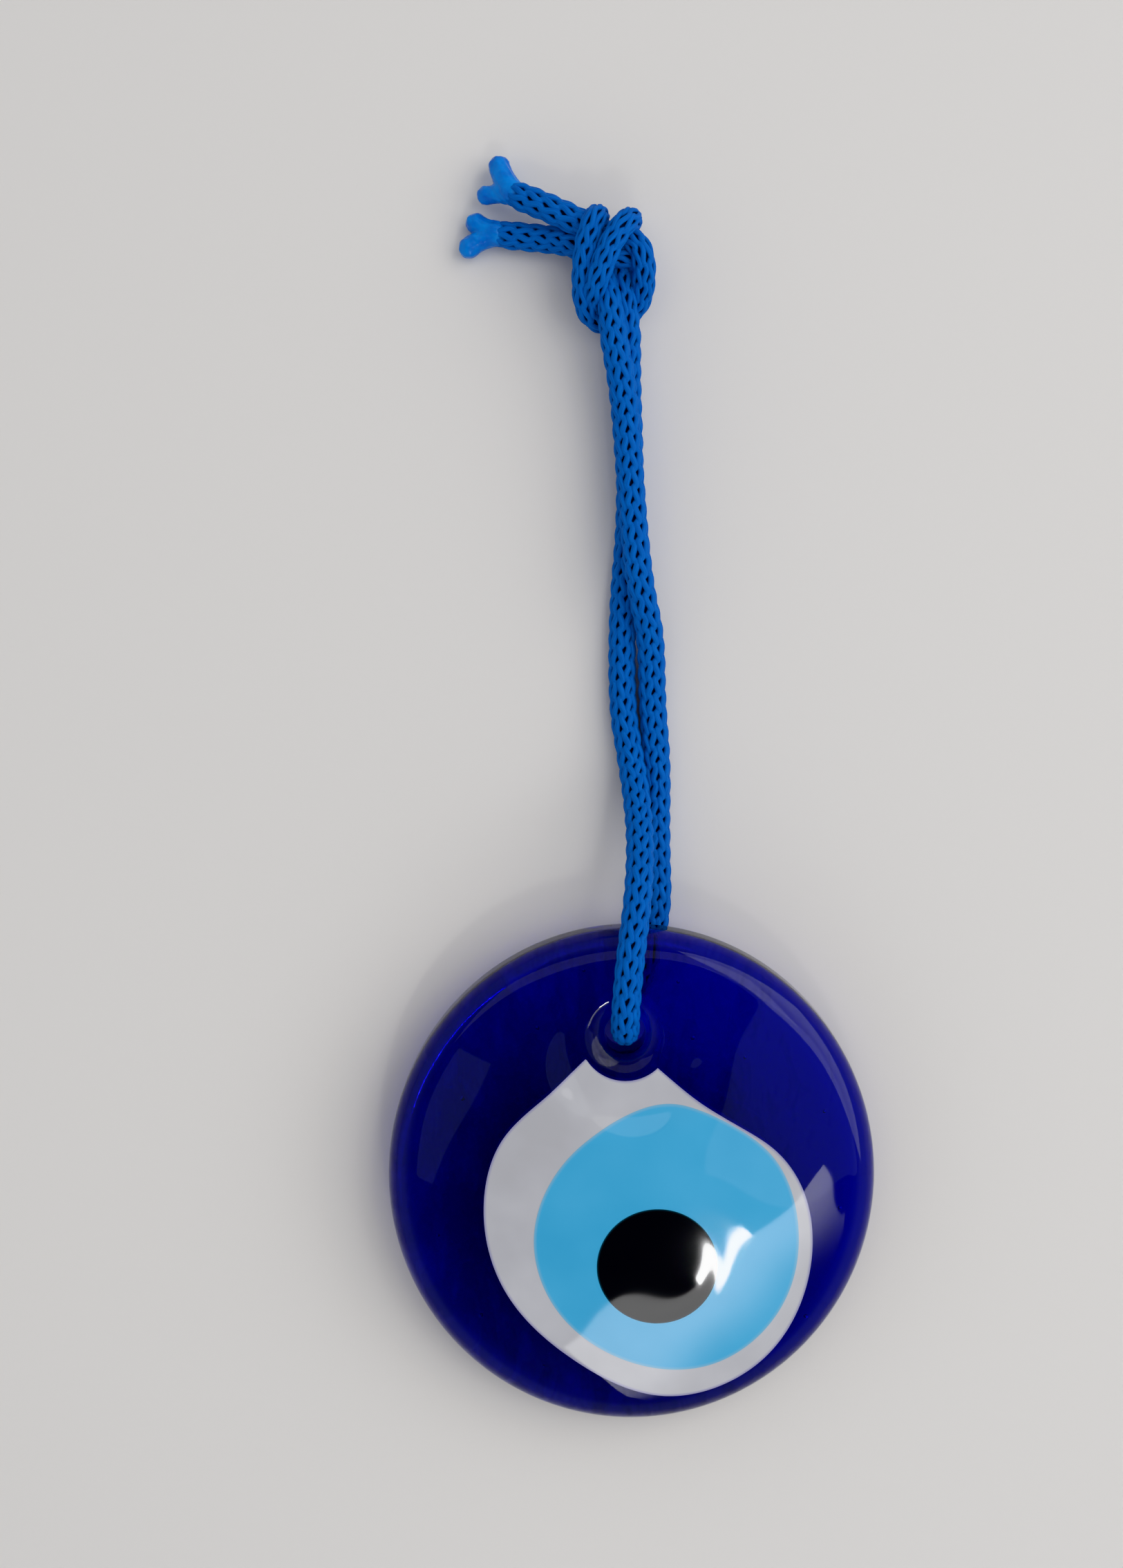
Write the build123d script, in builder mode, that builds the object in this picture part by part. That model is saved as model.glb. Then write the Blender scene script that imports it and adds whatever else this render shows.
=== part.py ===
"""An evil eye ornament: an oval disc of fused glass on a doubled, knotted cord.

The ornament lies face up on a flat surface, z = 0, in millimetres.  X is across the disc,
Y runs from the disc towards the knot and Z is up.  The origin is on the surface, under the
middle of the glass.  The cord leaves the hole at the back and runs under the glass, so the
disc leans on it: its upper edge is raised and its lower edge touches the surface.
"""

import os
from math import cos, pi, radians, sin, sqrt, tan

from build123d import *

os.makedirs("parts", exist_ok=True)

# ---- driving dimensions, millimetres and degrees ----
HALF_WIDTH = 25.0  # of the oval disc, across
HALF_HEIGHT = 26.0  # of the oval disc, along the line through the hole
THICKNESS = 7.6  # at the middle of the dome
DOME_RISE = 1.4  # how much thinner the disc is at its side, before the rounding
FRONT_ROUND = 3.0
BACK_ROUND = 1.6
LEAN = 4.4  # angle of the disc on the cord

HOLE_AT = (-0.75, 15.45)  # on the disc, from its middle
HOLE_RADIUS = 2.1
FRONT_MOUTH = (4.45, 6.55)  # radius and height of the rounded front mouth
BACK_MOUTH = (4.1, 2.2)  # radius and depth of the rounded back mouth
NOTCH_RADIUS = 4.6  # the round bite that the hole takes out of the white drop

WHITE_FLOOR = 5.2  # heights of the flat undersides of the colour drops
SKY_FLOOR = 6.1
PUPIL_FLOOR = 6.8
PUPIL_AT = (2.55, -8.35)
PUPIL_RADIUS = 6.15

CORD_DIAMETER = 3.0
CORD_RADIUS = CORD_DIAMETER / 2
FOLD_AT = (0.6, 50.0, CORD_RADIUS)  # the middle of the line that the cord folds on
FOLD_GAP = 1.8  # from that line to each tube's end
LOWER_END = FOLD_AT[1] - FOLD_GAP
UPPER_START = FOLD_AT[1] + FOLD_GAP

KNOT_AXIS = (-2.0, 4.4)  # x and z of the knot's middle line
KNOT_START = 86.3
KNOT_PROFILE = ((3.2, 86.3), (4.1, 89.8), (4.15, 95.0), (2.9, 98.4), (0.0, 99.3))

# ---- the leaning plane of the disc's flat back, worked out so that it rests on z = 0 ----
lean = radians(LEAN)
dome_radius = (HALF_WIDTH**2 + DOME_RISE**2) / (2 * DOME_RISE)
dome_centre = THICKNESS - dome_radius
round_height = dome_centre + sqrt(
    (dome_radius - FRONT_ROUND) ** 2 - (HALF_HEIGHT - FRONT_ROUND) ** 2
)
lowest = (HALF_HEIGHT - BACK_ROUND) * sin(lean) + BACK_ROUND * (1 - cos(lean))
nearest = -(HALF_HEIGHT - FRONT_ROUND) * cos(lean) - round_height * sin(lean) - FRONT_ROUND
furthest = (HALF_HEIGHT - BACK_ROUND) * cos(lean) - BACK_ROUND * sin(lean) + BACK_ROUND
disc_plane = Plane(
    origin=(0, -(nearest + furthest) / 2, lowest),
    x_dir=(1, 0, 0),
    z_dir=(0, -sin(lean), cos(lean)),
)
disc_axis = Axis(disc_plane.origin, disc_plane.z_dir)
dome_middle = disc_plane.from_local_coords(Vector(0, 0, dome_centre))
hole_foot = disc_plane.from_local_coords(Vector(*HOLE_AT, 0))
hole_plane = Plane(origin=hole_foot, x_dir=(1, 0, 0), z_dir=disc_plane.y_dir * -1)
hole_axis = Axis(hole_foot, disc_plane.z_dir)

# ---- outlines of the drops, on the disc, from its middle ----
WHITE_OUTLINE = [
    (-4.8, 13.1), (-8.5, 9.6), (-13.1, 5.0), (-15.1, -2.0), (-13.2, -10.7), (-6.3, -18.3),
    (3.9, -22.6), (12.9, -19.2), (18.3, -8.0), (16.9, 0.5), (14.4, 3.8), (11.1, 6.1),
    (5.4, 9.8), (2.5, 12.2),
]  # fmt: skip
SKY_OUTLINE = [
    (4.0, 8.6), (9.4, 6.8), (14.2, 3.1), (16.9, -4.5), (15.3, -12.9), (8.2, -19.1),
    (-0.6, -18.6), (-7.8, -12.9), (-10.0, -5.2), (-6.3, 3.3), (-1.4, 7.0),
]  # fmt: skip

# ---- the cord's route, millimetres from the origin, chosen by eye ----
FRONT_LOWER = [  # from the hole over the glass and down to the surface
    (-0.75, 15.15, 8.85), (-0.85, 17.6, 11.65), (-0.35, 23.6, 12.15), (0.45, 29.2, 11.1),
    (0.8, 34.2, 7.9), (0.6, 38.2, 4.5), (-0.05, 43.0, 1.95), (-0.95, LOWER_END, 1.5),
]  # fmt: skip
BACK_LOWER = [  # from the hole under the glass and along the surface
    (-0.75, 15.55, 3.55), (-0.4, 17.6, 1.52), (1.2, 21.2, 1.5), (2.95, 26.5, 1.5),
    (2.65, 34.5, 1.5), (2.75, 42.5, 1.5), (2.2, LOWER_END, 1.5),
]  # fmt: skip
FRONT_UPPER = [  # along the surface, under the other strand, into the knot
    (-1.0, UPPER_START, 1.5), (-0.9, 58.5, 1.5), (-0.15, 66.5, 1.5), (-0.15, 74.5, 1.52),
    (-0.45, 81.0, 1.8), (-0.5, KNOT_START, 2.55),
]  # fmt: skip
BACK_UPPER = [  # rises over the other strand and into the knot
    (2.15, UPPER_START, 1.5), (2.05, 55.4, 2.45), (0.95, 59.6, 4.4), (0.2, 65.5, 4.8),
    (-0.35, 73.0, 4.7), (-0.9, 80.0, 4.8), (-2.1, KNOT_START, 5.15),
]  # fmt: skip
UPPER_TAIL = [(-4.6, 96.3, 5.7), (-7.4, 97.9, 5.1), (-10.2, 99.2, 4.1), (-12.7, 100.4, 3.1)]
LOWER_TAIL = [(-4.4, 95.1, 2.6), (-7.4, 95.6, 2.2), (-11.0, 96.05, 1.9), (-14.5, 96.5, 1.6)]

# each lobe of a melted end: where it starts, the middle of its round tip, and its radius
UPPER_LOBES = [
    ((-12.6, 100.6, 2.9), (-13.5, 103.05, 2.1), 1.15),
    ((-12.7, 100.4, 2.9), (-14.8, 100.3, 1.9), 1.0),
]
LOWER_LOBES = [
    ((-14.4, 96.6, 1.6), (-15.6, 97.1, 1.4), 1.05),
    ((-14.4, 96.4, 1.6), (-16.1, 95.3, 1.3), 1.1),
]


def corner_radii(route):
    """As large an arc at each corner of the route as its two runs allow."""
    points = [Vector(*p) for p in route]
    radii = []
    for before, corner, after in zip(points, points[1:], points[2:]):
        first, second = corner - before, after - corner
        half_turn = radians(first.get_angle(second)) / 2
        radii.append(0.45 * min(first.length, second.length) / tan(half_turn))
    return radii


def report(name, length, volume, radii):
    """Prints how a tube came out: its bends, and its volume against its section and length."""
    share = volume / (pi * CORD_RADIUS**2 * length)
    print(name, "radii", [round(r, 1) for r in radii])
    print(name, "length", round(length, 1), "volume / (section x length)", round(share, 4))


def save(name, part):
    """Labels a finished piece and writes its STEP."""
    part.label = name
    export_step(part, f"parts/{name}.step")


# ---- the whole lens, before the colours are divided ----
with BuildPart() as lens:
    with BuildSketch(disc_plane):
        Ellipse(HALF_WIDTH, HALF_HEIGHT)
    extrude(amount=THICKNESS + 1)
    with Locations(Plane(origin=dome_middle, x_dir=(1, 0, 0), z_dir=(0, 1, 0))):
        Sphere(dome_radius, mode=Mode.INTERSECT)
    levels = lens.edges().filter_by(GeomType.LINE, reverse=True).group_by(disc_axis)
    fillet(levels[-1], FRONT_ROUND)
    levels = lens.edges().filter_by(GeomType.LINE, reverse=True).group_by(disc_axis)
    fillet(levels[0], BACK_ROUND)
    with BuildSketch(hole_plane):
        with BuildLine():
            Polyline((0, -1), (BACK_MOUTH[0], -1), (BACK_MOUTH[0], 0))
            Spline(
                (BACK_MOUTH[0], 0), (HOLE_RADIUS, BACK_MOUTH[1]), tangents=[(-1, 0.1), (0, 1)]
            )
            Line((HOLE_RADIUS, BACK_MOUTH[1]), (HOLE_RADIUS, 5.0))
            Spline((HOLE_RADIUS, 5.0), FRONT_MOUTH, tangents=[(0, 1), (1, 0.1)])
            ThreePointArc(FRONT_MOUTH, (8.0, 6.92), (11.5, 7.9))
            Polyline((11.5, 7.9), (11.5, 9), (0, 9), (0, -1))
        make_face()
    revolve(axis=hole_axis, mode=Mode.SUBTRACT)

# ---- the prisms that divide the lens: each stands on a drop's flat underside ----
with BuildPart() as white_prism:
    with BuildSketch(disc_plane.offset(WHITE_FLOOR)):
        with BuildLine():
            Spline(*WHITE_OUTLINE)
            Line(WHITE_OUTLINE[-1], WHITE_OUTLINE[0])
        make_face()
        with Locations(HOLE_AT):
            Circle(NOTCH_RADIUS, mode=Mode.SUBTRACT)
    extrude(amount=THICKNESS)

with BuildPart() as sky_prism:
    with BuildSketch(disc_plane.offset(SKY_FLOOR)):
        with BuildLine():
            Spline(*SKY_OUTLINE, periodic=True)
        make_face()
    extrude(amount=THICKNESS)

with BuildPart() as pupil_prism:
    with BuildSketch(disc_plane.offset(PUPIL_FLOOR)):
        with Locations(PUPIL_AT):
            Circle(PUPIL_RADIUS)
    extrude(amount=THICKNESS)

# ---- the glass pieces ----
with BuildPart() as glass_body:
    add(lens.part)
    add(white_prism.part, mode=Mode.SUBTRACT)
save("glass_body", glass_body.part)

with BuildPart() as white_drop:
    add(lens.part)
    add(white_prism.part, mode=Mode.INTERSECT)
    add(sky_prism.part, mode=Mode.SUBTRACT)
save("white_drop", white_drop.part)

with BuildPart() as sky_blue_drop:
    add(lens.part)
    add(sky_prism.part, mode=Mode.INTERSECT)
    add(pupil_prism.part, mode=Mode.SUBTRACT)
save("sky_blue_drop", sky_blue_drop.part)

with BuildPart() as pupil_drop:
    add(lens.part)
    add(pupil_prism.part, mode=Mode.INTERSECT)
save("pupil_drop", pupil_drop.part)


# ---- the cord's tubes ----
def cord_tube(name, route):
    """A round tube along the route's straight runs and tangent arcs."""
    radii = corner_radii(route)
    with BuildPart() as tube:
        with BuildLine() as path:
            FilletPolyline(*route, radius=radii)
        with BuildSketch(Plane(origin=path.line @ 0, z_dir=path.line % 0)):
            Circle(CORD_RADIUS)
        sweep()
    report(name, sum(edge.length for edge in path.edges()), tube.part.volume, radii)
    save(name, tube.part)


cord_tube("cord_through_hole", FRONT_LOWER[::-1] + BACK_LOWER)
cord_tube("front_strand", FRONT_UPPER)
cord_tube("back_strand", BACK_UPPER)
cord_tube("upper_tail", UPPER_TAIL)
cord_tube("lower_tail", LOWER_TAIL)

# ---- the knot: the outer shape of the tied strands ----
knot_plane = Plane(origin=(KNOT_AXIS[0], 0, KNOT_AXIS[1]), x_dir=(1, 0, 0), z_dir=(0, 0, 1))
with BuildPart() as knot:
    with BuildSketch(knot_plane):
        with BuildLine():
            Spline(*KNOT_PROFILE, tangents=[(0.4, 1), (-1, 0)])
            Polyline(KNOT_PROFILE[-1], (0, KNOT_START), KNOT_PROFILE[0])
        make_face()
    revolve(axis=Axis(knot_plane.origin, (0, 1, 0)))
save("knot", knot.part)


# ---- the melted, split ends ----
def melted_end(name, lobes):
    """Two round-ended lobes that grow out of a tail's cut end."""
    with BuildPart() as end:
        for start, tip, radius in lobes:
            along = Vector(*tip) - Vector(*start)
            with Locations(Plane(origin=start, z_dir=along)):
                Cylinder(radius, along.length, align=(Align.CENTER, Align.CENTER, Align.MIN))
            with Locations(start, tip):
                Sphere(radius)
    save(name, end.part)


melted_end("upper_melted_end", UPPER_LOBES)
melted_end("lower_melted_end", LOWER_LOBES)
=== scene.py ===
"""The evil eye ornament's looks: fused glass, a knitted cord and its melted ends, in metres."""

from math import cos, pi, radians, sin, sqrt

import bmesh
import bpy
import numpy as np
from mathutils import Matrix, Vector, noise


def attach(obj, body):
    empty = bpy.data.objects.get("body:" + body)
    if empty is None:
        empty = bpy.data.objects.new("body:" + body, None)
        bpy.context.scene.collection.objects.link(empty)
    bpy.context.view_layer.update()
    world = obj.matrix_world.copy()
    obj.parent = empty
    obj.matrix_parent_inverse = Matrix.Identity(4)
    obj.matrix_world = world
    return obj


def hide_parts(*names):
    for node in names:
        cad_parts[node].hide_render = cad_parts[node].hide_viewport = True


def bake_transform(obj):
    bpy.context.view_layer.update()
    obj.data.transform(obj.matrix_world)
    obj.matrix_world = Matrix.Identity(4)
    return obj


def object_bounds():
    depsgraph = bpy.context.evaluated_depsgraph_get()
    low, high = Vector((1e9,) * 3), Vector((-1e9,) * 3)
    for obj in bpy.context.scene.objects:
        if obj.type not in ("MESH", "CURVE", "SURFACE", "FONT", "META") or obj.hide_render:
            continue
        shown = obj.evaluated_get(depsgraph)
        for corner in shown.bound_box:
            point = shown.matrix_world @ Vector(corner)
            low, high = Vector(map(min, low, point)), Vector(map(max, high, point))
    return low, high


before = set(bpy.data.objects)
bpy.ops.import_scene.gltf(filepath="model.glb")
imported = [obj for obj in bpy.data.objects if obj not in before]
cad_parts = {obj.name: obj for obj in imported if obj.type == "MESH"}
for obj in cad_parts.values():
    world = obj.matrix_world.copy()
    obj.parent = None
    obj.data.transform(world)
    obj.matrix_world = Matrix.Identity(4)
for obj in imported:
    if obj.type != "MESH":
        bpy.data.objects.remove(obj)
cad_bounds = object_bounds()

MM = 0.001

# ---- sizes, in millimetres and degrees, as in the CAD model ----
HALF_WIDTH = 25.0
HALF_HEIGHT = 26.0
THICKNESS = 7.6
DOME_RISE = 1.4
FRONT_ROUND = 3.0
BACK_ROUND = 1.6
LEAN = radians(4.4)
HOLE_AT = (-0.75, 15.45)
HOLE_RADIUS = 2.1
MOUTH_RADIUS = 4.45
NOTCH_RADIUS = 4.6
WHITE_FLOOR = 5.2
SKY_FLOOR = 6.1
PUPIL_FLOOR = 6.8
PUPIL_AT = (2.55, -8.35)
PUPIL_RADIUS = 6.15
MOUTH_HEIGHT = 6.55  # of the edge of the hole's rounded front mouth
WALL_TOP = 5.0  # where the hole's straight wall ends in front
BACK_MOUTH = (4.1, 2.2)  # the rounded mouth at the back: its radius and its depth
BOWL_BLEND = 0.35  # how softly the bowl round the hole runs into the dome
PROUD = (0.02, 0.04, 0.06)  # how far the drops' skins stand out, so that no two coincide
EDGE_BAND = 0.8  # the band along a drop's edge where its points are closest together
INNERMOST = 0.985  # how far towards a drop's middle its rings go
# small bubbles of air in the glass: where they are and their radius
BUBBLES = [
    (6.2, 14.9, 4.2, 0.22), (11.4, 12.6, 3.1, 0.16), (-9.6, 15.8, 3.6, 0.2),
    (-17.2, 8.4, 3.4, 0.24), (19.6, 6.9, 2.7, 0.18), (21.3, -3.2, 3.0, 0.2),
    (-19.8, -6.1, 2.9, 0.17), (-15.4, -14.6, 3.2, 0.21), (-9.0, -20.2, 2.6, 0.15),
    (18.0, -14.9, 2.4, 0.2), (4.6, 20.4, 2.9, 0.17), (-4.9, 21.6, 3.3, 0.15),
]  # fmt: skip

# outlines of the drops on the disc, from its middle; the white one ends at the hole's notch
WHITE_OUTLINE = [
    (-4.8, 13.1), (-8.5, 9.6), (-13.1, 5.0), (-15.1, -2.0), (-13.2, -10.7), (-6.3, -18.3),
    (3.9, -22.6), (12.9, -19.2), (18.3, -8.0), (16.9, 0.5), (14.4, 3.8), (11.1, 6.1),
    (5.4, 9.8), (2.5, 12.2),
]  # fmt: skip
SKY_OUTLINE = [
    (4.0, 8.6), (9.4, 6.8), (14.2, 3.1), (16.9, -4.5), (15.3, -12.9), (8.2, -19.1),
    (-0.6, -18.6), (-7.8, -12.9), (-10.0, -5.2), (-6.3, 3.3), (-1.4, 7.0),
]  # fmt: skip
UPPER_LOBES = [
    ((-12.0, 100.1, 3.2), (-13.3, 101.9, 2.6), (-13.55, 103.1, 2.1), (1.25, 1.1, 1.1)),
    ((-12.2, 100.2, 3.1), (-13.7, 100.35, 2.3), (-14.85, 100.25, 1.85), (1.2, 0.85, 1.0)),
]
LOWER_LOBES = [
    ((-13.9, 96.5, 1.65), (-15.0, 96.9, 1.5), (-15.95, 97.55, 1.35), (1.25, 0.9, 1.05)),
    ((-13.9, 96.4, 1.65), (-15.4, 96.0, 1.45), (-16.65, 95.1, 1.3), (1.25, 0.95, 1.1)),
]

# ---- the cord's route, in millimetres: each half starts in the middle of the hole ----
HOLE_MIDDLE = (-0.75, 15.3, 6.9)
FRONT_ROUTE = [
    HOLE_MIDDLE,
    # up out of the hole, over the glass and down to the surface
    (-0.75, 15.15, 8.85), (-0.85, 17.6, 11.65), (-0.35, 23.6, 12.15), (0.45, 29.2, 11.1),
    (0.8, 34.2, 7.9), (0.6, 38.2, 4.5), (-0.05, 43.0, 1.95), (-0.95, 48.2, 1.5),
    # along the surface, under the other strand
    (-0.9, 58.5, 1.5), (-0.15, 66.5, 1.5), (-0.15, 74.5, 1.52), (-0.45, 81.0, 1.9),
    # the knot: up behind the two diagonals
    (-0.5, 86.3, 3.2), (-0.7, 89.0, 3.8), (-1.0, 91.8, 3.5), (-0.9, 94.8, 1.8), (-0.5, 97.0, 2.5),
    # over the top and down the front as the inner diagonal
    (-0.1, 97.2, 5.2), (-0.8, 96.6, 7.1), (-2.2, 94.6, 7.4), (-3.3, 91.8, 7.1), (-4.0, 89.9, 6.1),
    # behind the stem, and up inside the bulge on the right
    (-4.0, 88.9, 3.4), (-1.8, 89.4, 1.6), (0.1, 91.0, 1.7), (0.9, 92.8, 3.2),
    # through the loop and out as the lower tail
    (-0.5, 93.6, 4.3), (-3.0, 93.6, 4.6), (-5.4, 94.9, 3.6), (-7.4, 95.6, 2.5), (-11.0, 96.05, 1.9),
    (-14.5, 96.5, 1.6),
]  # fmt: skip
BACK_ROUTE = [
    HOLE_MIDDLE,
    # down out of the hole, under the glass and along the surface
    (-0.75, 15.55, 3.55), (-0.4, 17.6, 1.52), (1.2, 21.2, 1.5), (2.95, 26.5, 1.5),
    (2.65, 34.5, 1.5), (2.75, 42.5, 1.5), (2.2, 48.2, 1.5),
    # over the other strand
    (2.05, 55.4, 2.45), (0.95, 59.6, 4.4), (0.2, 65.5, 4.8), (-0.35, 73.0, 4.7), (-0.9, 80.0, 4.8),
    # the knot: up behind the two diagonals, on their left
    (-2.1, 86.3, 5.3), (-2.3, 89.0, 5.8), (-3.1, 91.8, 4.2), (-3.5, 94.6, 1.9), (-3.6, 97.0, 2.4),
    # over the top and down the left side as the outer diagonal
    (-3.5, 97.7, 4.8), (-4.0, 96.8, 6.7), (-4.8, 94.2, 6.6), (-5.0, 91.4, 6.0), (-4.9, 89.0, 4.7),
    # behind the stem and up as the bulge on the right
    (-3.8, 87.4, 2.8), (-1.2, 87.6, 1.5), (0.8, 89.2, 2.5), (1.2, 91.6, 4.7), (0.9, 94.2, 5.6),
    # through the loop and out as the upper tail
    (-0.6, 95.6, 5.0), (-3.2, 95.9, 4.5), (-5.4, 96.9, 4.8), (-7.4, 97.9, 4.7), (-10.2, 99.2, 4.0),
    (-12.7, 100.4, 3.1),
]  # fmt: skip
KNOT_Y = (86.0, 99.4)

COLLECTION = bpy.context.scene.collection
UV_NAME = "surface"  # along and round the yarn, or how far inside a drop's edge


# ======================================================================= the disc's own place
dome_radius = (HALF_WIDTH**2 + DOME_RISE**2) / (2 * DOME_RISE)
dome_centre = THICKNESS - dome_radius
round_height = dome_centre + sqrt(
    (dome_radius - FRONT_ROUND) ** 2 - (HALF_HEIGHT - FRONT_ROUND) ** 2
)
lowest = (HALF_HEIGHT - BACK_ROUND) * sin(LEAN) + BACK_ROUND * (1 - cos(LEAN))
nearest = -(HALF_HEIGHT - FRONT_ROUND) * cos(LEAN) - round_height * sin(LEAN) - FRONT_ROUND
furthest = (HALF_HEIGHT - BACK_ROUND) * cos(LEAN) - BACK_ROUND * sin(LEAN) + BACK_ROUND
DISC_TO_WORLD = (
    Matrix.Scale(MM, 4)
    @ Matrix.Translation((0, -(nearest + furthest) / 2, lowest))
    @ Matrix.Rotation(LEAN, 4, "X")
)


# ================================================================================= the camera
def make_camera():
    """Looks down on the ornament from the knot's side, nearly square on."""
    distance, tilt = 0.21335, radians(3.2)
    low, high = (Vector(corner) for corner in cad_bounds)
    aim = Vector(((low.x + high.x) / 2 - 0.0072, (low.y + high.y) / 2 + 0.0009, 0))
    data = bpy.data.cameras.new("camera")
    data.lens, data.sensor_width = 46.83, 36.0
    camera = bpy.data.objects.new("camera", data)
    camera.location = aim + distance * Vector((0, sin(tilt), cos(tilt)))
    camera.rotation_euler = (-tilt, 0, 0)
    COLLECTION.objects.link(camera)
    bpy.context.scene.camera = camera


make_camera()


# ================================================================================== the cords
def spline_line(name, route, resolution=24):
    """The points of a NURBS spline that has the route's points as its control points."""
    curve = bpy.data.curves.new(name, "CURVE")
    curve.dimensions = "3D"
    curve.resolution_u = resolution
    spline = curve.splines.new("NURBS")
    spline.points.add(len(route) - 1)
    for point, place in zip(spline.points, route):
        point.co = (*(MM * x for x in place), 1)
    spline.order_u = 3
    spline.use_endpoint_u = True
    holder = bpy.data.objects.new(name, curve)
    mesh = bpy.data.meshes.new_from_object(holder)
    points = np.array([v.co[:] for v in mesh.vertices])
    bpy.data.objects.remove(holder)
    bpy.data.meshes.remove(mesh)
    bpy.data.curves.remove(curve)
    return points


def evenly(points, step):
    """The same line in even steps, and the distance along it at each point."""
    along = np.concatenate([[0], np.cumsum(np.linalg.norm(np.diff(points, axis=0), axis=1))])
    at = np.linspace(0, along[-1], int(along[-1] / step) + 2)
    return np.stack([np.interp(at, along, points[:, k]) for k in range(3)], axis=1), at


def carried_frames(line):
    """Tangent, side and up vectors along a line, carried without twist."""
    tangent = np.gradient(line, axis=0)
    tangent /= np.linalg.norm(tangent, axis=1, keepdims=True)
    side = np.zeros_like(line)
    first = np.cross(tangent[0], (0.0, 0.0, 1.0))
    if np.linalg.norm(first) < 0.5:
        first = np.array((1.0, 0.0, 0.0))
    side[0] = first - tangent[0] * (first @ tangent[0])
    side[0] /= np.linalg.norm(side[0])
    for i in range(1, len(line)):
        s = side[i - 1] - tangent[i] * (side[i - 1] @ tangent[i])
        side[i] = s / np.linalg.norm(s)
    return tangent, side, np.cross(tangent, side)


def sampled(values, at, where):
    """Vectors given at some distances along a line, read at others."""
    return np.stack([np.interp(where, at, values[:, k]) for k in range(3)], axis=1)


def unit(vectors):
    """The same directions with length 1."""
    return vectors / np.linalg.norm(vectors, axis=1, keepdims=True)


def tube_quads(rings, sides):
    """Quads between rings of points, each closed on itself."""
    i = np.arange(rings - 1)[:, None] * sides
    j = np.arange(sides)[None, :]
    k = (j + 1) % sides
    return np.stack([i + j, i + k, i + sides + k, i + sides + j], axis=-1).reshape(-1, 4)


def ring_tube(centres, radius, sides):
    """Vertices and quads of a round tube along a line."""
    tangent, side, up = carried_frames(centres)
    angle = np.linspace(0, 2 * pi, sides, endpoint=False)
    around = (
        np.cos(angle)[None, :, None] * side[:, None, :] + np.sin(angle)[None, :, None] * up[:, None]
    )
    verts = (centres[:, None, :] + radius * around).reshape(-1, 3)
    return verts, tube_quads(len(centres), sides)


def mesh_from(name, verts, faces, materials, indices=None, uvs=None):
    """A smooth-shaded object from vertex and quad arrays, with per-face materials and UVs."""
    mesh = bpy.data.meshes.new(name)
    mesh.vertices.add(len(verts))
    mesh.vertices.foreach_set("co", np.asarray(verts, dtype=np.float32).ravel())
    faces = np.asarray(faces)
    size = faces.shape[1]
    mesh.loops.add(faces.size)
    mesh.loops.foreach_set("vertex_index", faces.astype(np.int32).ravel())
    mesh.polygons.add(len(faces))
    mesh.polygons.foreach_set("loop_start", np.arange(0, faces.size, size, dtype=np.int32))
    if indices is not None:
        mesh.polygons.foreach_set("material_index", np.asarray(indices, dtype=np.int32))
    mesh.polygons.foreach_set("use_smooth", np.ones(len(faces), dtype=bool))
    mesh.update(calc_edges=True)
    if uvs is not None:
        layer = mesh.uv_layers.new(name=UV_NAME)
        layer.data.foreach_set("uv", np.asarray(uvs, dtype=np.float32).ravel())
    mesh.validate()
    for material in materials:
        mesh.materials.append(material)
    piece = bpy.data.objects.new(name, mesh)
    COLLECTION.objects.link(piece)
    return piece


WALES = 5  # columns of stitches round the cord
COURSE = 1.77 * MM  # height of one row of stitches
YARN = (0.33 * MM, 0.255 * MM)  # the yarn's half width and half thickness
KNIT_RADIUS = 1.12 * MM  # of the yarn's middle line
LOOP_HEIGHT = 1.06 * MM  # half the height of one loop
LOOP_BULGE = 0.24  # how far a loop's legs lean, in column widths
LOOP_DEPTH = 0.09 * MM  # how far the legs stand out in front of the heads
KNOT_SQUEEZE = 0.14
END_TAPER = 2.2 * MM  # the length over which a tail narrows into its melted end
STEPS = 18  # points along one stitch
YARN_SIDES = 8


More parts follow.
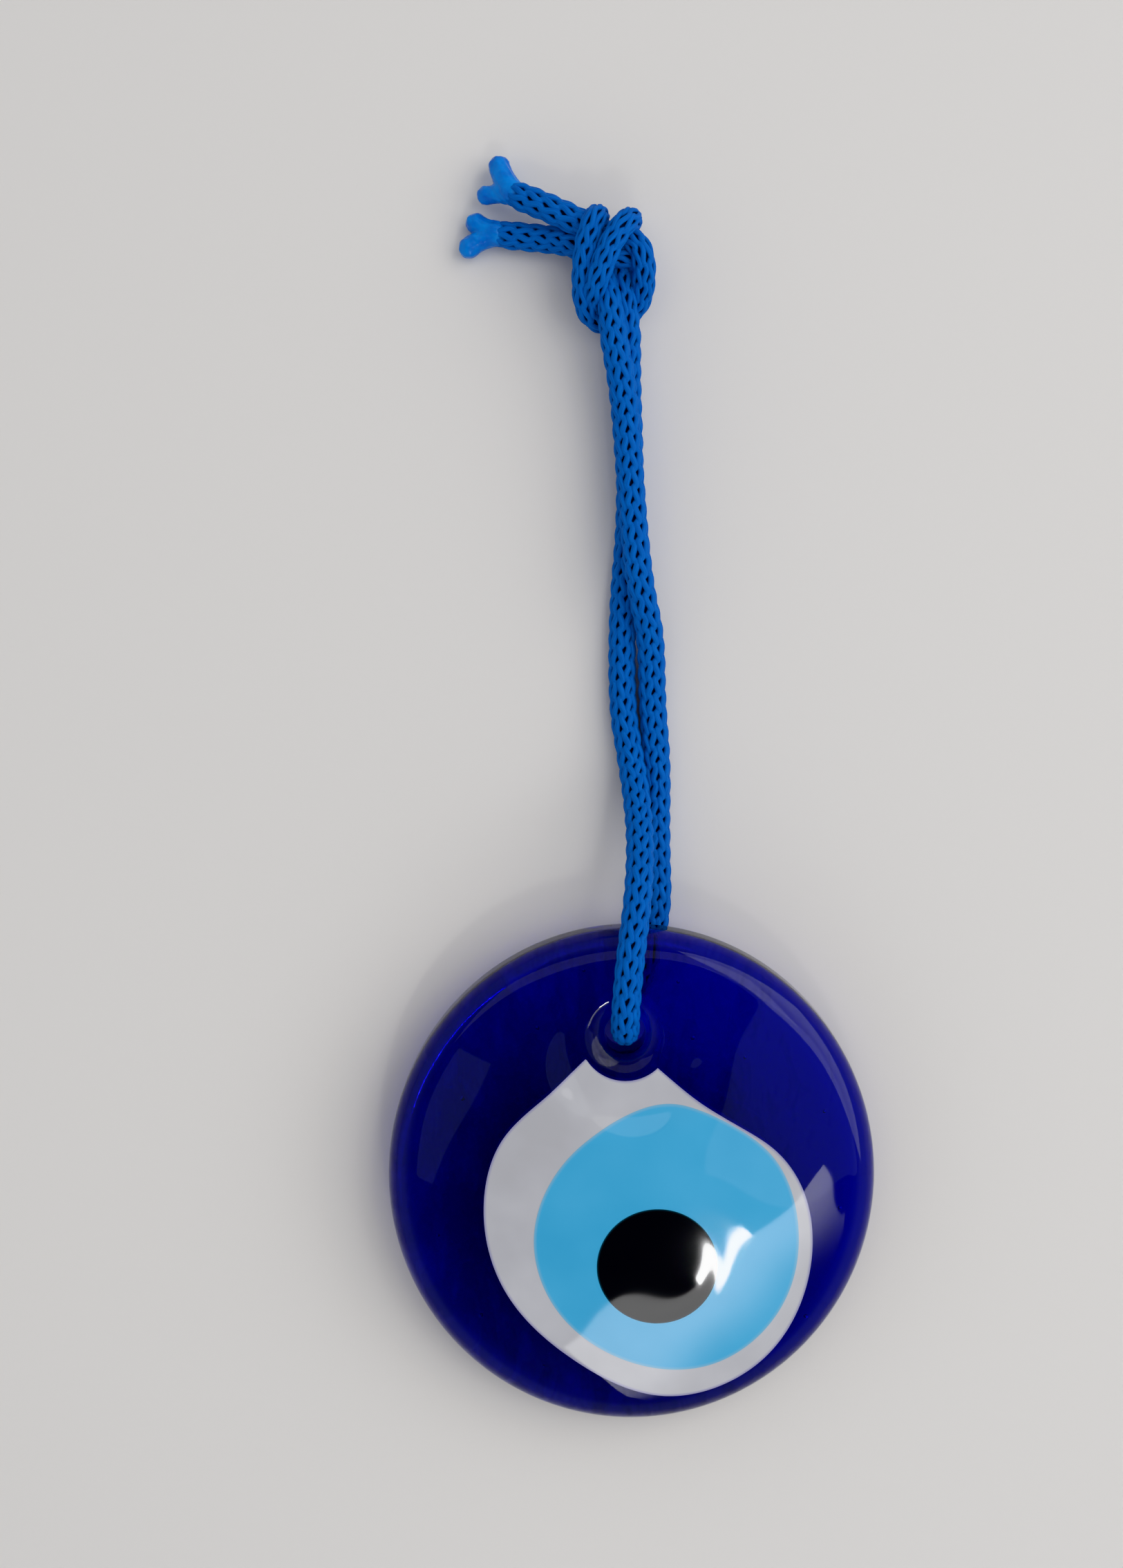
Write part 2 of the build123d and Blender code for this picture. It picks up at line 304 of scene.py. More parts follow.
def knit_cord(name, route, turn, materials):
    """A knitted tube along the route: one yarn that winds round it in rows of loops."""
    line, at = evenly(spline_line(name, route), 0.25 * MM)
    tangent, side, up = carried_frames(line)
    length = at[-1]
    rows = int(length / COURSE)
    course = length / rows
    stitch = np.linspace(0, rows * WALES, rows * WALES * STEPS + 1)
    # no two stitches are quite alike
    unevenness = np.sin(stitch * 0.37 + 1.3 * np.sin(stitch * 0.113)) + 0.6 * np.sin(stitch * 1.71)
    across = stitch + (LOOP_BULGE + 0.016 * unevenness) * np.sin(4 * pi * stitch)
    height = LOOP_HEIGHT * (1 + 0.035 * np.sin(stitch * 0.71 + 2.0 * np.sin(stitch * 0.057)))
    along = stitch / WALES * course - height * np.cos(2 * pi * stitch)
    inside = np.clip(along, 0, length)
    # tighter where the knot squeezes the cord, and at the melted end
    y = np.interp(inside, at, line[:, 1])
    in_knot = np.clip((y - KNOT_Y[0] * MM) / (3 * MM), 0, 1) * np.clip(
        (length - 10 * MM - inside) / (3 * MM), 0, 1
    )
    ending = np.clip((inside - length + END_TAPER) / END_TAPER, 0, 1)
    squeeze = (1 - KNOT_SQUEEZE * in_knot) * (1 - 0.35 * ending**2)
    out = (KNIT_RADIUS - LOOP_DEPTH * np.cos(4 * pi * stitch)) * squeeze
    angle = 2 * pi * across / WALES + turn
    centre = sampled(line, at, inside)
    n, b = (unit(sampled(v, at, inside)) for v in (side, up))
    outward = np.cos(angle)[:, None] * n + np.sin(angle)[:, None] * b
    yarn_line = centre + out[:, None] * outward
    # the yarn is a flat oval that lies on the tube
    heading = unit(np.gradient(yarn_line, axis=0))
    sideways = unit(np.cross(outward, heading))
    upward = np.cross(heading, sideways)
    turn_round = np.linspace(0, 2 * pi, YARN_SIDES, endpoint=False)
    verts = (
        yarn_line[:, None, :]
        + (YARN[0] * squeeze)[:, None, None] * np.cos(turn_round)[None, :, None] * sideways[:, None]
        + (YARN[1] * squeeze)[:, None, None] * np.sin(turn_round)[None, :, None] * upward[:, None]
    ).reshape(-1, 3)
    quads = tube_quads(len(yarn_line), YARN_SIDES)
    # painted shade: a dark tube inside the hollow cord, standing in for the shadow seen between the
    # stitches
    shade_core_line = line[::3]
    shade_core_verts, shade_core_quads = ring_tube(shade_core_line, 0.66 * KNIT_RADIUS, 10)
    indices = np.concatenate([np.zeros(len(quads)), np.ones(len(shade_core_quads))])
    u = np.repeat(np.arange(len(yarn_line) - 1) / STEPS, YARN_SIDES)
    v = np.tile(np.arange(YARN_SIDES) / YARN_SIDES, len(yarn_line) - 1)
    du, dv = 1 / STEPS, 1 / YARN_SIDES
    uv = np.stack([u, v, u, v + dv, u + du, v + dv, u + du, v], axis=1).reshape(-1, 2)
    shade_core_uv = np.zeros((shade_core_quads.size, 2))
    piece = mesh_from(
        name,
        np.concatenate([verts, shade_core_verts]),
        np.concatenate([quads, shade_core_quads + len(verts)]),
        materials,
        indices,
        np.concatenate([uv, shade_core_uv]),
    )
    return piece, line, length


# ============================================================================== the materials
def material(name, **values):
    """A new node material; returns it with its node tree and its Principled shader."""
    made = bpy.data.materials.new(name)
    made.use_nodes = True
    tree = made.node_tree
    shader = tree.nodes["Principled BSDF"]
    for socket, value in values.items():
        shader.inputs[socket.replace("_", " ")].default_value = value
    return made, tree, shader


def yarn_material():
    """Blue yarn with fine fibres along it."""
    made, tree, shader = material("cord_yarn", Roughness=0.6)
    shader.inputs["Specular IOR Level"].default_value = 0.3
    shader.inputs["Sheen Weight"].default_value = 0.12
    shader.inputs["Sheen Roughness"].default_value = 0.4
    shader.inputs["Sheen Tint"].default_value = (0.3, 0.6, 1.0, 1)
    nodes, links = tree.nodes, tree.links
    uv = nodes.new("ShaderNodeUVMap")
    uv.uv_map = UV_NAME
    stretch = nodes.new("ShaderNodeMapping")
    stretch.inputs["Scale"].default_value = (1.2, 9.0, 1.0)
    texture = nodes.new("ShaderNodeTexNoise")
    texture.inputs["Scale"].default_value = 3.0
    texture.inputs["Detail"].default_value = 3.0
    links.new(uv.outputs["UV"], stretch.inputs["Vector"])
    links.new(stretch.outputs["Vector"], texture.inputs["Vector"])
    ramp = nodes.new("ShaderNodeValToRGB")
    ramp.color_ramp.elements[0].position, ramp.color_ramp.elements[1].position = 0.3, 0.72
    ramp.color_ramp.elements[0].color = (0.0, 0.085, 0.40, 1)
    ramp.color_ramp.elements[1].color = (0.0, 0.16, 0.62, 1)
    links.new(texture.outputs["Fac"], ramp.inputs["Fac"])
    links.new(ramp.outputs["Color"], shader.inputs["Base Color"])
    bump = nodes.new("ShaderNodeBump")
    bump.inputs["Strength"].default_value = 0.35
    bump.inputs["Distance"].default_value = 0.00005
    links.new(texture.outputs["Fac"], bump.inputs["Height"])
    links.new(bump.outputs["Normal"], shader.inputs["Normal"])
    return made


def shade_core_material():
    """Painted shade: a dark colour for the tube inside the hollow knitted cord, standing in for the
    shadow in it.
    """
    made, tree, shader = material("cord_painted_shade", Roughness=0.9)
    texture = tree.nodes.new("ShaderNodeTexNoise")
    texture.inputs["Scale"].default_value = 900.0
    ramp = tree.nodes.new("ShaderNodeValToRGB")
    ramp.color_ramp.elements[0].color = (0.0, 0.004, 0.03, 1)
    ramp.color_ramp.elements[1].color = (0.0, 0.012, 0.09, 1)
    tree.links.new(texture.outputs["Fac"], ramp.inputs["Fac"])
    tree.links.new(ramp.outputs["Color"], shader.inputs["Base Color"])
    return made


# the yarn, and the painted shade for the cord's hollow inside
yarn, shade_core = yarn_material(), shade_core_material()
front_cord, front_line, front_length = knit_cord("front_cord", FRONT_ROUTE, 0.3, [yarn, shade_core])
back_cord, back_line, back_length = knit_cord("back_cord", BACK_ROUTE, 0.0, [yarn, shade_core])
print("cord halves, mm:", round(front_length / MM, 1), round(back_length / MM, 1))


def melted_end(name, lobes, made):
    """The cord's cut end, melted into two soft lobes."""
    bm = bmesh.new()
    for first, middle, tip, radii in lobes:
        places = [Vector(p) for p in (first, middle, tip)]
        for i in range(25):
            t = i / 24
            place = places[0].lerp(places[1], t).lerp(places[1].lerp(places[2], t), t)
            radius = (1 - t) ** 2 * radii[0] + 2 * t * (1 - t) * radii[1] + t**2 * radii[2]
            ball = bmesh.ops.create_icosphere(bm, subdivisions=3, radius=radius * MM)
            bmesh.ops.translate(bm, verts=ball["verts"], vec=place * MM)
    rough = bpy.data.meshes.new(name)
    bm.to_mesh(rough)
    bm.free()
    holder = bpy.data.objects.new(name + "_rough", rough)
    COLLECTION.objects.link(holder)
    remesh = holder.modifiers.new("one skin", "REMESH")
    remesh.mode, remesh.voxel_size, remesh.use_smooth_shade = "VOXEL", 0.09 * MM, True
    soften = holder.modifiers.new("soften", "SMOOTH")
    soften.iterations, soften.factor = 10, 0.5
    bpy.context.view_layer.update()
    depsgraph = bpy.context.evaluated_depsgraph_get()
    mesh = bpy.data.meshes.new_from_object(holder.evaluated_get(depsgraph))
    bpy.data.objects.remove(holder)
    # ripples left by the yarn, running out to the tips, and small pits
    along = (Vector(lobes[0][2]) - Vector(lobes[0][0])).normalized()
    normals = [v.normal.copy() for v in mesh.vertices]
    for v, normal in zip(mesh.vertices, normals):
        place = v.co / MM
        across = place - along * place.dot(along)
        ripple = noise.noise(across * 2.2 + along * place.dot(along) * 0.5)
        v.co += normal * (0.09 * ripple + 0.03 * noise.noise(place * 3.5)) * MM
        v.co.z = max(v.co.z, 0.03 * MM)
    piece = bpy.data.objects.new(name, mesh)
    COLLECTION.objects.link(piece)
    mesh.materials.clear()
    mesh.materials.append(made)
    for polygon in mesh.polygons:
        polygon.use_smooth = True
    return piece


def melted_material():
    """The cord's plastic, melted and set."""
    made, tree, shader = material("cord_melted", Roughness=0.28)
    texture = tree.nodes.new("ShaderNodeTexNoise")
    texture.inputs["Scale"].default_value = 620.0
    texture.inputs["Detail"].default_value = 4.0
    place = tree.nodes.new("ShaderNodeTexCoord")
    tree.links.new(place.outputs["Object"], texture.inputs["Vector"])
    ramp = tree.nodes.new("ShaderNodeValToRGB")
    ramp.color_ramp.elements[0].position, ramp.color_ramp.elements[1].position = 0.3, 0.75
    ramp.color_ramp.elements[0].color = (0.0, 0.12, 0.56, 1)
    ramp.color_ramp.elements[1].color = (0.0, 0.27, 0.80, 1)
    tree.links.new(texture.outputs["Fac"], ramp.inputs["Fac"])
    tree.links.new(ramp.outputs["Color"], shader.inputs["Base Color"])
    bump = tree.nodes.new("ShaderNodeBump")
    bump.inputs["Strength"].default_value = 0.3
    bump.inputs["Distance"].default_value = 0.0001
    tree.links.new(texture.outputs["Fac"], bump.inputs["Height"])
    tree.links.new(bump.outputs["Normal"], shader.inputs["Normal"])
    shader.inputs["Subsurface Weight"].default_value = 0.15
    shader.inputs["Subsurface Radius"].default_value = (0.0002, 0.0005, 0.001)
    shader.inputs["Subsurface Scale"].default_value = 1.0
    return made


melted = melted_material()
upper_end = melted_end("upper_end", UPPER_LOBES, melted)
lower_end = melted_end("lower_end", LOWER_LOBES, melted)


# ================================================================================== the glass
def outline_radius(x, y):
    """How far the disc's outline is from its middle, in the direction of (x, y)."""
    return np.hypot(x, y) / np.maximum(np.hypot(x / HALF_WIDTH, y / HALF_HEIGHT), 1e-9)


def waviness(x, y):
    """How far the hand-made front surface is from a perfect dome."""
    wave = 0.05 * np.sin(0.21 * x + 0.6) * np.cos(0.18 * y - 0.7)
    wave += 0.03 * np.sin(0.33 * x - 0.26 * y + 1.2) + 0.018 * np.sin(0.25 * x + 0.47 * y)
    from_pupil = np.hypot(x - PUPIL_AT[0], y - PUPIL_AT[1])
    wave -= 0.012 * np.exp(-(((from_pupil - PUPIL_RADIUS) / 1.1) ** 2))
    return wave * np.clip((1 - np.hypot(x / HALF_WIDTH, y / HALF_HEIGHT)) / 0.12, 0, 1)


def soft_minimum(a, b, k):
    """The lower of two heights, with a rounded corner where they meet."""
    h = np.clip(0.5 + 0.5 * (b - a) / k, 0, 1)
    return b + (a - b) * h - k * h * (1 - h)


def bowl(x, y):
    """The height of the shallow bowl round the hole, outside its mouth."""
    out = np.maximum(np.hypot(x - HOLE_AT[0], y - HOLE_AT[1]) - MOUTH_RADIUS, 0)
    return MOUTH_HEIGHT + 0.0157 * out + 0.0249 * out**2


def front_height(x, y):
    """The height of the front surface over the disc's flat back."""
    outline, r = outline_radius(x, y), np.hypot(x, y)
    centre = outline - FRONT_ROUND
    centre_height = dome_centre + np.sqrt((dome_radius - FRONT_ROUND) ** 2 - centre**2)
    touch = centre * dome_radius / (dome_radius - FRONT_ROUND)
    dome = dome_centre + np.sqrt(dome_radius**2 - r**2)
    rim = centre_height + np.sqrt(np.maximum(FRONT_ROUND**2 - (r - centre) ** 2, 0))
    height = np.where(r <= touch, dome, rim) + waviness(x, y)
    return soft_minimum(height, bowl(x, y), BOWL_BLEND)


def glass_body(made):
    """The cobalt disc with its hole: rings of points from the hole's middle, over the front,
    round the rim and along the back to the hole again."""
    count = 384
    # rays from the hole, closer together towards the far side, which is wider
    turn = np.linspace(0, 2 * pi, count, endpoint=False)
    turn = turn - 0.42 * np.sin(turn - pi / 2 - pi)
    away = np.stack([np.cos(turn), np.sin(turn)], axis=1)
    hole = np.array(HOLE_AT)
    # where each ray meets the outline
    scale = np.array((HALF_WIDTH, HALF_HEIGHT))
    d, o = away / scale, hole / scale
    a, b, c = (d * d).sum(1), (d * o).sum(1), (o * o).sum() - 1
    reach = (-b + np.sqrt(b * b - a * c)) / a
    rim_point = hole + away * reach[:, None]
    outline = np.linalg.norm(rim_point, axis=1)
    ray = rim_point / outline[:, None]
    rings = []

    def ring(xy, z):
        rings.append(np.column_stack([xy, np.broadcast_to(z, len(xy))]))

    # up the hole and out over its rounded front mouth
    for z in np.linspace(2.5, WALL_TOP - 0.3, 6):
        ring(hole + away * HOLE_RADIUS, z)
    edge = hole + away * MOUTH_RADIUS
    edge_height = front_height(edge[:, 0], edge[:, 1])
    for t in np.linspace(0, pi / 2, 14):
        r = HOLE_RADIUS + (MOUTH_RADIUS - HOLE_RADIUS) * (1 - cos(t))
        ring(hole + away * r, WALL_TOP + (edge_height - WALL_TOP) * sin(t))
    # over the front to the rounded rim
    centre = outline - FRONT_ROUND
    centre_height = dome_centre + np.sqrt((dome_radius - FRONT_ROUND) ** 2 - centre**2)
    lean_there = np.arcsin(centre / (dome_radius - FRONT_ROUND))
    touch = ray * (centre + FRONT_ROUND * np.sin(lean_there))[:, None]
    for t in np.linspace(0, 1, 62)[1:]:
        xy = edge + (touch - edge) * (0.75 * t + 0.25 * t**2)
        ring(xy, front_height(xy[:, 0], xy[:, 1]))
    for t in np.linspace(0, 1, 18)[1:]:
        g = lean_there + (pi / 2 - lean_there) * t
        xy = ray * (centre + FRONT_ROUND * np.sin(g))[:, None]
        z = centre_height + FRONT_ROUND * np.cos(g) + waviness(xy[:, 0], xy[:, 1])
        ring(xy, soft_minimum(z, bowl(xy[:, 0], xy[:, 1]), BOWL_BLEND))
    # down the side and round the back's edge
    for t in (0.35, 0.7):
        ring(rim_point, centre_height + (BACK_ROUND - centre_height) * t)
    for t in np.linspace(0, pi / 2, 10):
        ring(ray * (outline - BACK_ROUND * (1 - cos(t)))[:, None], BACK_ROUND * (1 - sin(t)))
    # along the flat back into the hole
    back_edge = ray * (outline - BACK_ROUND)[:, None]
    back_mouth = hole + away * BACK_MOUTH[0]
    for t in np.linspace(0, 1, 24)[1:]:
        ring(back_edge + (back_mouth - back_edge) * t, 0.0)
    for t in np.linspace(0, pi / 2, 12)[1:]:
        r = HOLE_RADIUS + (BACK_MOUTH[0] - HOLE_RADIUS) * (1 - sin(t))
        ring(hole + away * r, BACK_MOUTH[1] * (1 - cos(t)))
    verts = np.concatenate(rings)
    i = np.arange(len(rings))[:, None] * count
    after = np.roll(i, -1, axis=0)
    j = np.arange(count)[None, :]
    k = (j + 1) % count
    quads = np.stack([i + j, after + j, after + k, i + k], axis=-1).reshape(-1, 4)
    # small bubbles of air, whose skin faces inwards
    bubble_verts, bubble_quads = [verts], [quads]
    start = len(verts)
    for x, y, z, r in BUBBLES:
        ball, faces = globe((x, y, z), r)
        bubble_verts.append(ball)
        bubble_quads.append(faces[:, ::-1] + start)
        start += len(ball)
    return on_disc("glass_disc", np.concatenate(bubble_verts), np.concatenate(bubble_quads), made)


def globe(middle, radius, rings=10, sides=16):
    """A small sphere of quads, left open in tiny rings at its poles."""
    polar = np.linspace(0.04, pi - 0.04, rings)
    around = np.linspace(0, 2 * pi, sides, endpoint=False)
    verts = np.stack(
        [
            np.outer(np.sin(polar), np.cos(around)),
            np.outer(np.sin(polar), np.sin(around)),
            np.outer(np.cos(polar), np.ones(sides)),
        ],
        axis=-1,
    ).reshape(-1, 3)
    return np.array(middle) + radius * verts, tube_quads(rings, sides)[:, ::-1]


def on_disc(name, verts, quads, made, uvs=None):
    """A piece whose points are given on the disc, put where the disc is."""
    m = np.array(DISC_TO_WORLD)
    placed = verts @ m[:3, :3].T + m[:3, 3]
    return mesh_from(name, placed, quads, [made], uvs=uvs)


def smooth_through(points, closed, count):
    """Points along the smooth curve through the given ones."""
    points = np.array(points, dtype=float)
    n = len(points)
    if closed:
        points = np.vstack([points, points[:1]])
    at = np.concatenate([[0], np.cumsum(np.linalg.norm(np.diff(points, axis=0), axis=1))])
    h = np.diff(at)
    system, right = np.zeros((n, n)), np.zeros((n, 2))
    slope = np.diff(points, axis=0) / h[:, None]
    for i in range(n):
        if not closed and i in (0, n - 1):
            system[i, i] = 1
            continue
        before = (i - 1) % len(h)
        system[i, (i - 1) % n] += h[before]
        system[i, i] += 2 * (h[before] + h[i])
        system[i, (i + 1) % n] += h[i]
        right[i] = 6 * (slope[i] - slope[before])
    bend = np.linalg.solve(system, right)
    if closed:
        bend = np.vstack([bend, bend[:1]])
    where = np.linspace(0, at[-1], count, endpoint=not closed)
    k = np.clip(np.searchsorted(at, where, side="right") - 1, 0, len(h) - 1)
    a, b = (at[k + 1] - where)[:, None], (where - at[k])[:, None]
    w = h[k][:, None]
    return (
        (bend[k] * a**3 + bend[k + 1] * b**3) / (6 * w)
        + (points[k] / w - bend[k] * w / 6) * a
        + (points[k + 1] / w - bend[k + 1] * w / 6) * b
    )


def drop(name, outline, middle, floor, proud, made):
    """A drop of coloured glass set flush in the front: its skin, its side and its flat underside.
    The UV map holds how far each point is inside the edge, in millimetres."""
    middle = np.array(middle)
    count = len(outline)
    deepest = np.linalg.norm(outline - middle, axis=1)
    rings, inside = [], []
    # close rings near the edge, at the same depths all round, then wider ones to the middle
    for depth in np.linspace(0, EDGE_BAND, 9):
        xy = outline + (middle - outline) * (depth / deepest)[:, None]
        rings.append(np.column_stack([xy, front_height(xy[:, 0], xy[:, 1]) + proud]))
        inside.append(np.full(count, depth))
    edge = outline + (middle - outline) * (EDGE_BAND / deepest)[:, None]
    for t in np.linspace(0, INNERMOST, 34)[1:]:
        xy = edge + (middle - edge) * t
        rings.append(np.column_stack([xy, front_height(xy[:, 0], xy[:, 1]) + proud]))
        inside.append(EDGE_BAND + t * (deepest - EDGE_BAND))
    # the side and the underside, in reverse, under the skin
    top = rings[0]
    under = [
        np.column_stack([top[:, :2], floor + (top[:, 2] - floor) * t]) for t in (0.0, 0.5)
    ]
    flat = [
        np.column_stack([outline + (middle - outline) * t, np.full(count, floor)])
        for t in np.linspace(INNERMOST, 0, 8)[:-1]
    ]
    every = flat + under + rings
    verts = np.concatenate(every)
    depth = np.concatenate([np.zeros(count)] * (len(flat) + len(under)) + inside)
    quads = tube_quads(len(every), count)
    # the small middles are closed by a strip of quads across
    k = np.arange(count // 2 - 1)
    low = np.stack([k, count - 1 - k, count - 2 - k, k + 1], axis=1)
    high = low[:, ::-1] + (len(every) - 1) * count
    quads = np.concatenate([quads, low, high])
    uv = np.column_stack([depth[quads.ravel()], np.zeros(quads.size)])
    piece = on_disc(name, verts, quads, made, uv)
    # the skin's edge and the underside's edge are sharp
    ends = np.zeros(len(piece.data.edges) * 2, dtype=np.int32)
    piece.data.edges.foreach_get("vertices", ends)
    ends = ends.reshape(-1, 2) // count
    sharp = (ends[:, 0] == ends[:, 1]) & np.isin(ends[:, 0], (len(flat), len(flat) + len(under)))
    layer = piece.data.attributes.new("sharp_edge", "BOOLEAN", "EDGE")
    layer.data.foreach_set("value", sharp)
    return piece


def glass_material():
    """Cobalt glass that takes light away with depth."""
    made, tree, shader = material("cobalt_glass", Roughness=0.02, IOR=1.5)
    shader.inputs["Transmission Weight"].default_value = 1.0
    # paler and darker streaks in the melt
    place = tree.nodes.new("ShaderNodeTexCoord")
    streaks = tree.nodes.new("ShaderNodeMapping")
    streaks.inputs["Scale"].default_value = (460.0, 180.0, 180.0)
    texture = tree.nodes.new("ShaderNodeTexNoise")
    texture.inputs["Scale"].default_value = 1.0
    texture.inputs["Detail"].default_value = 2.0
    texture.inputs["Distortion"].default_value = 0.6
    tree.links.new(place.outputs["Object"], streaks.inputs["Vector"])
    tree.links.new(streaks.outputs["Vector"], texture.inputs["Vector"])
    ramp = tree.nodes.new("ShaderNodeValToRGB")
    ramp.color_ramp.elements[0].position, ramp.color_ramp.elements[1].position = 0.4, 0.66
    ramp.color_ramp.elements[0].color = (0.10, 0.12, 0.62, 1)
    ramp.color_ramp.elements[1].color = (0.42, 0.46, 1.0, 1)
    # painted light: the tint made paler towards the right, where light passes through the glass
    split = tree.nodes.new("ShaderNodeSeparateXYZ")
    painted_light_to_right = tree.nodes.new("ShaderNodeMapRange")
    painted_light_to_right.inputs["From Min"].default_value, painted_light_to_right.inputs["From Max"].default_value = -0.015, 0.022
    painted_light_to_right.inputs["To Min"].default_value, painted_light_to_right.inputs["To Max"].default_value = -0.1, 0.3
    # the real streaks plus the painted light towards the right
    streaks_and_painted_light = tree.nodes.new("ShaderNodeMath")
    tree.links.new(place.outputs["Object"], split.inputs["Vector"])
    tree.links.new(split.outputs["X"], painted_light_to_right.inputs["Value"])
    tree.links.new(texture.outputs["Fac"], streaks_and_painted_light.inputs[0])
    tree.links.new(painted_light_to_right.outputs["Result"], streaks_and_painted_light.inputs[1])
    tree.links.new(streaks_and_painted_light.outputs["Value"], ramp.inputs["Fac"])
    tree.links.new(ramp.outputs["Color"], shader.inputs["Base Color"])
    absorb = tree.nodes.new("ShaderNodeVolumeAbsorption")
    absorb.inputs["Color"].default_value = (0.02, 0.04, 0.958, 1)
    absorb.inputs["Density"].default_value = 1350.0
    output = tree.nodes["Material Output"]
    tree.links.new(absorb.outputs["Volume"], output.inputs["Volume"])
    return made


def drop_material(name, first, second, edge, edge_width, scale):
    """Opaque glass of two close shades, which shows the glass under it at its thin edge."""
    made, tree, shader = material(name, Roughness=0.035, IOR=1.5)
    nodes, links = tree.nodes, tree.links
    place = nodes.new("ShaderNodeTexCoord")
    texture = nodes.new("ShaderNodeTexNoise")
    texture.inputs["Scale"].default_value = scale
    texture.inputs["Detail"].default_value = 3.0
    links.new(place.outputs["Object"], texture.inputs["Vector"])
    ramp = nodes.new("ShaderNodeValToRGB")
    ramp.color_ramp.elements[0].position, ramp.color_ramp.elements[1].position = 0.35, 0.65
    ramp.color_ramp.elements[0].color = (*first, 1)
    ramp.color_ramp.elements[1].color = (*second, 1)
    links.new(texture.outputs["Fac"], ramp.inputs["Fac"])
    uv = nodes.new("ShaderNodeUVMap")
    uv.uv_map = UV_NAME
    split = nodes.new("ShaderNodeSeparateXYZ")
    links.new(uv.outputs["UV"], split.inputs["Vector"])
    fade = nodes.new("ShaderNodeMapRange")
    fade.interpolation_type = "SMOOTHSTEP"
    fade.inputs["From Min"].default_value = 0.0
    fade.inputs["From Max"].default_value = edge_width
    fade.inputs["To Min"].default_value = 0.65
    fade.inputs["To Max"].default_value = 0.0
    links.new(split.outputs["X"], fade.inputs["Value"])
    mix = nodes.new("ShaderNodeMix")
    mix.data_type = "RGBA"
    links.new(fade.outputs["Result"], mix.inputs["Factor"])
    links.new(ramp.outputs["Color"], mix.inputs["A"])
    mix.inputs["B"].default_value = (*edge, 1)
    links.new(mix.outputs["Result"], shader.inputs["Base Color"])
    return made


cobalt = glass_material()
white = drop_material(
    "white_glass", (0.53, 0.525, 0.545), (0.62, 0.615, 0.64), (0.24, 0.22, 0.5), 0.35, 90
)
sky = drop_material(
    "sky_glass", (0.095, 0.45, 0.74), (0.12, 0.50, 0.80), (0.3, 0.54, 0.70), 0.4, 70
)
black = drop_material(
    "black_glass", (0.003, 0.003, 0.004), (0.006, 0.006, 0.007), (0.01, 0.05, 0.08), 0.2, 60
)

disc = glass_body(cobalt)
notch_start = np.array(WHITE_OUTLINE[-1]) - HOLE_AT
notch_end = np.array(WHITE_OUTLINE[0]) - HOLE_AT
from_angle = np.arctan2(notch_start[1], notch_start[0])
to_angle = np.arctan2(notch_end[1], notch_end[0])
notch = np.linspace(from_angle, to_angle, 62)[1:-1]
white_edge = np.concatenate(
    [
        smooth_through(WHITE_OUTLINE, False, 360),
        np.array(HOLE_AT) + NOTCH_RADIUS * np.column_stack([np.cos(notch), np.sin(notch)]),
    ]
)
sky_edge = smooth_through(SKY_OUTLINE, True, 360)
round_edge = np.linspace(0, 2 * pi, 240, endpoint=False)
pupil_edge = np.array(PUPIL_AT) + PUPIL_RADIUS * np.column_stack(
    [np.cos(round_edge), np.sin(round_edge)]
)
white_drop = drop("white_skin", white_edge[::-1], (1.6, -4.5), WHITE_FLOOR, PROUD[0], white)
sky_drop = drop("sky_skin", sky_edge[::-1], (3.4, -5.2), SKY_FLOOR, PROUD[1], sky)
pupil_drop = drop("pupil_skin", pupil_edge, PUPIL_AT, PUPIL_FLOOR, PROUD[2], black)


# ================================================================================== the stage
def make_floor():
    """A plain pale surface."""
    made, tree, shader = material("floor", Roughness=0.8)
    shader.inputs["Base Color"].default_value = (0.82, 0.79, 0.75, 1)
    verts = [(-5, -5, 0), (5, -5, 0), (5, 5, 0), (-5, 5, 0)]
    floor = mesh_from("floor", verts, [(0, 1, 2, 3)], [made])


def area_light(name, towards, distance, size, power, turn=0.0, colour=(1, 1, 1), fades=False):
    """A soft light that looks at the glass. Towards is how far to the right and up it is for each
    metre above the glass, power is for each square metre of it, and turn is how far its long side
    is turned from left to right. One that fades is brightest along its upper side."""
    data = bpy.data.lights.new(name, "AREA")
    data.shape = "RECTANGLE"
    data.size, data.size_y = size
    data.energy, data.color = power * size[0] * size[1], colour
    light = bpy.data.objects.new(name, data)
    direction = Vector((towards[0], towards[1], 1)).normalized()
    right = Vector((cos(turn), sin(turn), 0))
    right = (right - direction * right.dot(direction)).normalized()
    rotation = Matrix((right, direction.cross(right), direction)).transposed()
    light.matrix_world = Matrix.Translation(direction * distance) @ rotation.to_4x4()
    COLLECTION.objects.link(light)
    if fades:
        data.use_nodes = True
        nodes, links = data.node_tree.nodes, data.node_tree.links
        place = nodes.new("ShaderNodeNewGeometry")
        split = nodes.new("ShaderNodeSeparateXYZ")
        ramp = nodes.new("ShaderNodeMapRange")
        ramp.interpolation_type = "SMOOTHSTEP"
        ramp.inputs["From Min"].default_value = 0.0
        ramp.inputs["From Max"].default_value = 0.9
        links.new(place.outputs["Parametric"], split.inputs["Vector"])
        links.new(split.outputs["Y"], ramp.inputs["Value"])
        links.new(ramp.outputs["Result"], nodes["Emission"].inputs["Strength"])


